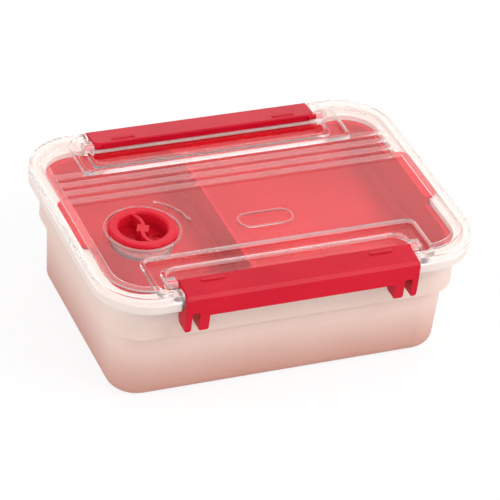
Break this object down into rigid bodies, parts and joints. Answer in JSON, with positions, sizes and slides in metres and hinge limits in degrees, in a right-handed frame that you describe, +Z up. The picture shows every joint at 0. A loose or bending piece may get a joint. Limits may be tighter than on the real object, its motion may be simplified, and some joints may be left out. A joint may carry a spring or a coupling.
{
  "type": "lunch box",
  "caption": "Rectangular lunch box: milky stepped base, clear ribbed lid held by hinged red side clips, a turning vent knob in the lid and a lift-out divided red tray.",
  "frame": {"origin": "middle of the flat underside of the base, on the surface it stands on", "axes": "+X along the long side of the box, +Y towards the rear clip and the ribbed end of the lid, +Z up"},
  "size_m": [0.21, 0.1598, 0.0756],
  "materials": {
    "milky_base": "milky translucent polypropylene, fine satin",
    "red_tray": "opaque red polypropylene, satin gloss",
    "clear_lid": "clear plastic, polished",
    "red_clip": "opaque red polypropylene, gloss",
    "red_knob": "opaque red polypropylene, gloss"
  },
  "bodies": {
    "base": {"base_container": "milky_base"},
    "lid": {"lid_shell": "clear_lid"},
    "tray": {"divided_tray": "red_tray"},
    "front_clip": {"front_clip": "red_clip"},
    "rear_clip": {"rear_clip": "red_clip"},
    "vent": {"vent_knob": "red_knob"}
  },
  "joints": [
    {"name": "lid_lift", "type": "slide", "parent": "base", "child": "lid", "axis": [0, 0, 1], "range_m": [0, 0.12]},
    {"name": "tray_lift", "type": "slide", "parent": "base", "child": "tray", "axis": [0, 0, 1], "range_m": [0, 0.06]},
    {"name": "front_clip_hinge", "type": "hinge", "parent": "lid", "child": "front_clip", "pos_m": [0, -0.0644, 0.0718], "axis": [-1, 0, 0], "range_deg": [0, 110]},
    {"name": "rear_clip_hinge", "type": "hinge", "parent": "lid", "child": "rear_clip", "pos_m": [0, 0.0644, 0.0718], "axis": [1, 0, 0], "range_deg": [0, 110]},
    {"name": "vent_turn", "type": "hinge", "parent": "lid", "child": "vent", "pos_m": [-0.0662, -0.0177, 0.0718], "axis": [0, 0, -1], "range_deg": [0, 90]}
  ],
  "couplings": [
    {"joint": "tray_lift", "follows": "lid_lift", "ratio": 0.5}
  ]
}
